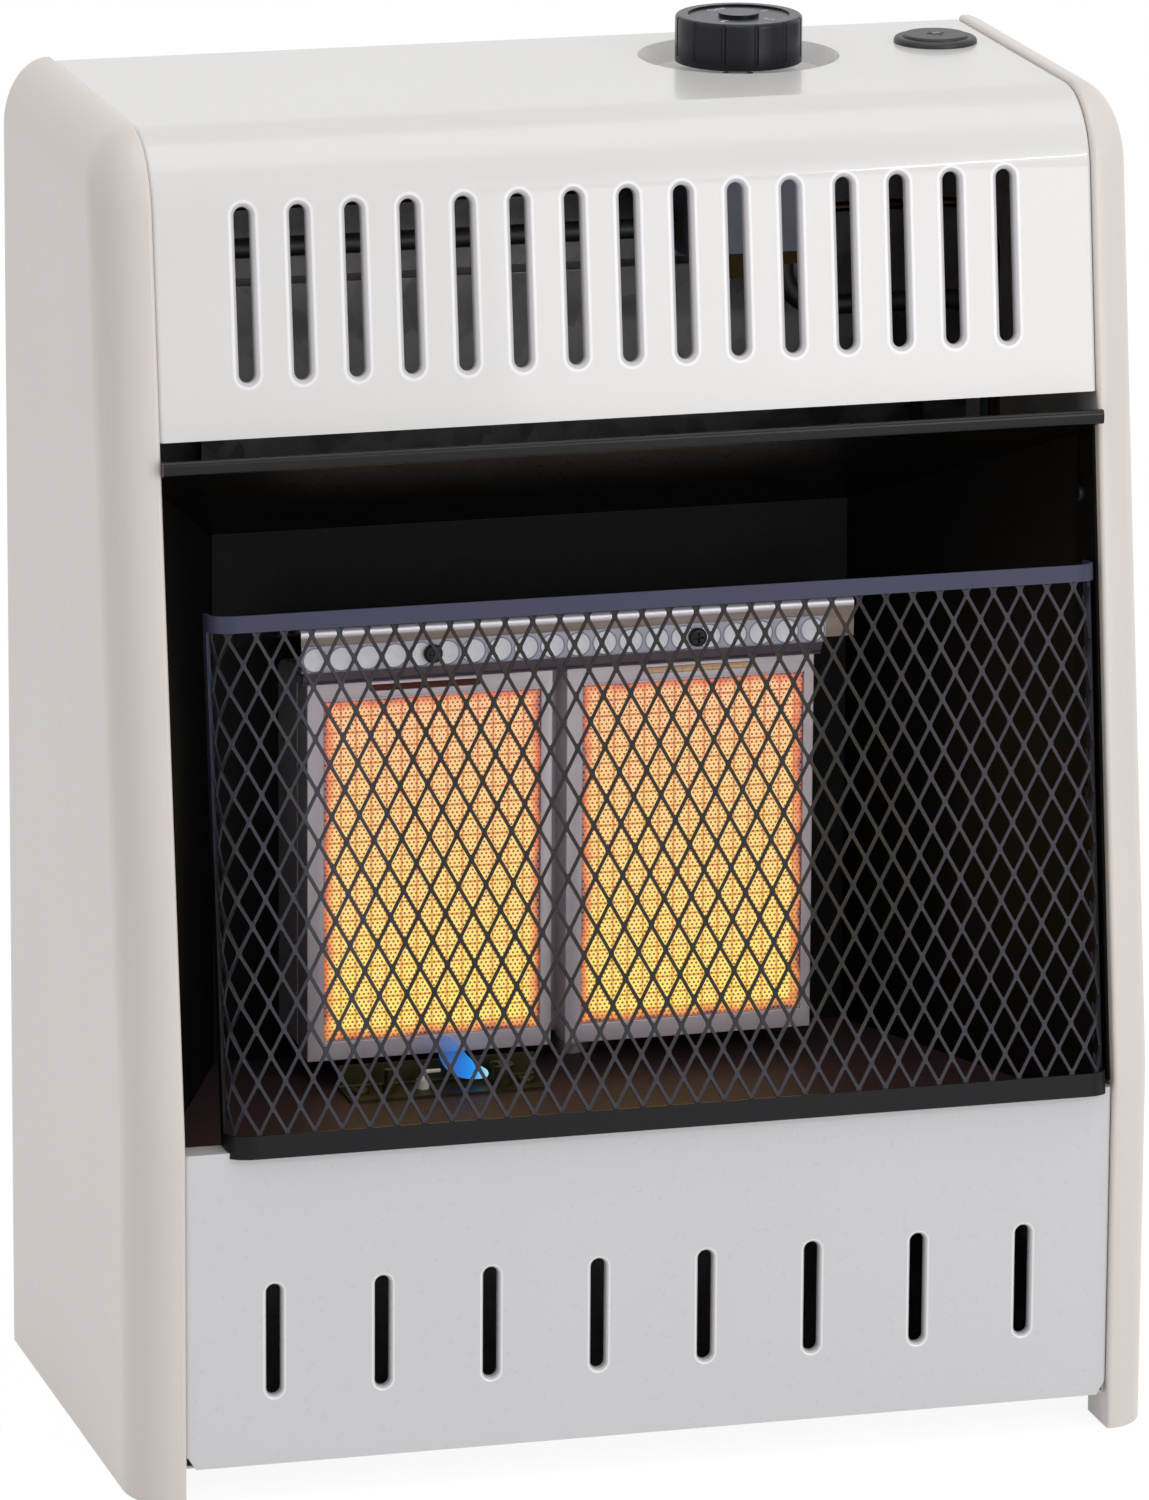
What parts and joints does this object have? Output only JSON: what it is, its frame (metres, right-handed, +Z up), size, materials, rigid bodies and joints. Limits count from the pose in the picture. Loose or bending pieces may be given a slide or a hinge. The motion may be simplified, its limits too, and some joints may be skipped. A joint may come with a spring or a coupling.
{
  "type": "infrared gas room heater",
  "caption": "Wall or floor propane room heater: enamel cabinet with louvred top and base, mesh grille, glowing ceramic plaques, gas valve with turn-and-press knob and push igniter.",
  "frame": {"origin": "middle of the footprint, on the floor", "axes": "+X to the heater's right as seen from its front, -Y out of its front, +Z up"},
  "size_m": [0.411, 0.222, 0.5405],
  "materials": {
    "white_enamel": "almond-white baked enamel on sheet steel, semi-gloss",
    "panel_enamel": "light grey-white baked enamel, semi-gloss",
    "zinc_sheet": "zinc-plated sheet steel",
    "hood_enamel": "blue-black porcelain enamel, glossy",
    "black_enamel": "black heat-proof enamel",
    "grille_enamel": "black heat-proof enamel, satin",
    "mesh_steel": "dark expanded steel mesh",
    "burner_steel": "bright aluminised steel, heat-greyed",
    "fibre_gasket": "ceramic fibre gasket",
    "glowing_ceramic": "perforated cordierite plaque, glowing",
    "polished_aluminium": "polished dimpled aluminium",
    "heat_tinted_steel": "steel with straw and bronze heat tint",
    "brass": "machined brass",
    "cast_aluminium": "die-cast aluminium",
    "zinc_steel": "zinc-plated steel",
    "spring_steel": "spring steel wire",
    "navy_plastic": "blue-black moulded plastic, satin",
    "black_plastic": "black moulded plastic",
    "white_ceramic": "glazed white insulator",
    "copper_tube": "drawn copper tube",
    "aluminium_tube": "drawn aluminium tube",
    "silicone_lead": "red-brown silicone ignition lead",
    "black_screws": "blackened steel screws"
  },
  "bodies": {
    "cabinet": {"air_shutter": "zinc_sheet", "back_panel": "zinc_sheet", "back_screws": "zinc_steel", "base_pan": "zinc_sheet", "burner_box": "burner_steel", "burner_face_frame": "burner_steel", "burner_screws": "zinc_steel", "burner_shield": "heat_tinted_steel", "cabinet_shell": "white_enamel", "ceramic_plaque_left": "glowing_ceramic", "ceramic_plaque_right": "glowing_ceramic", "firebox_back": "black_enamel", "firebox_floor": "black_enamel", "firebox_side_left": "black_enamel", "firebox_side_right": "black_enamel", "firebox_side_screws": "black_screws", "flare_nuts": "brass", "gas_valve_body": "cast_aluminium", "grille_frame": "grille_enamel", "grille_mesh": "mesh_steel", "hood_canopy": "hood_enamel", "igniter_housing": "black_plastic", "igniter_lead": "silicone_lead", "igniter_nut": "black_plastic", "igniter_spring": "spring_steel", "injector": "brass", "injector_bracket": "zinc_sheet", "inlet_fitting": "brass", "inlet_tube": "aluminium_tube", "lower_front_panel": "panel_enamel", "lower_panel_screws": "zinc_steel", "magnet_unit": "brass", "manifold_tube": "aluminium_tube", "mixing_tube": "zinc_sheet", "pilot_bracket": "zinc_sheet", "pilot_burner": "brass", "pilot_screws": "zinc_steel", "pilot_tube": "copper_tube", "plaque_gasket_left": "fibre_gasket", "plaque_gasket_right": "fibre_gasket", "plunger_spring": "spring_steel", "rear_heat_shield": "zinc_sheet", "reflector_screws": "black_screws", "reflector_strip": "polished_aluminium", "regulator": "cast_aluminium", "side_casing_left": "white_enamel", "side_casing_right": "white_enamel", "spark_electrode": "white_ceramic", "thermocouple": "copper_tube", "thermocouple_lead": "copper_tube", "valve_bracket": "zinc_sheet", "valve_screws": "zinc_steel"},
    "valve_plunger": {"valve_plunger": "brass"},
    "knob": {"control_knob": "navy_plastic", "valve_spindle": "zinc_steel"},
    "igniter_button": {"igniter_button": "black_plastic"}
  },
  "joints": [
    {"name": "knob_press", "type": "slide", "parent": "cabinet", "child": "valve_plunger", "axis": [0, 0, -1], "range_m": [0, 0.004], "stiffness_N_per_m": 900, "springref_m": -0.004, "deforming": ["plunger_spring"]},
    {"name": "knob_turn", "type": "hinge", "parent": "valve_plunger", "child": "knob", "pos_m": [0.078, 0.058, 0.53], "axis": [0, 0, 1], "range_deg": [0, 240]},
    {"name": "igniter_press", "type": "slide", "parent": "cabinet", "child": "igniter_button", "axis": [0, 0, -1], "range_m": [0, 0.0055], "stiffness_N_per_m": 700, "springref_m": -0.003, "deforming": ["igniter_spring"]}
  ]
}
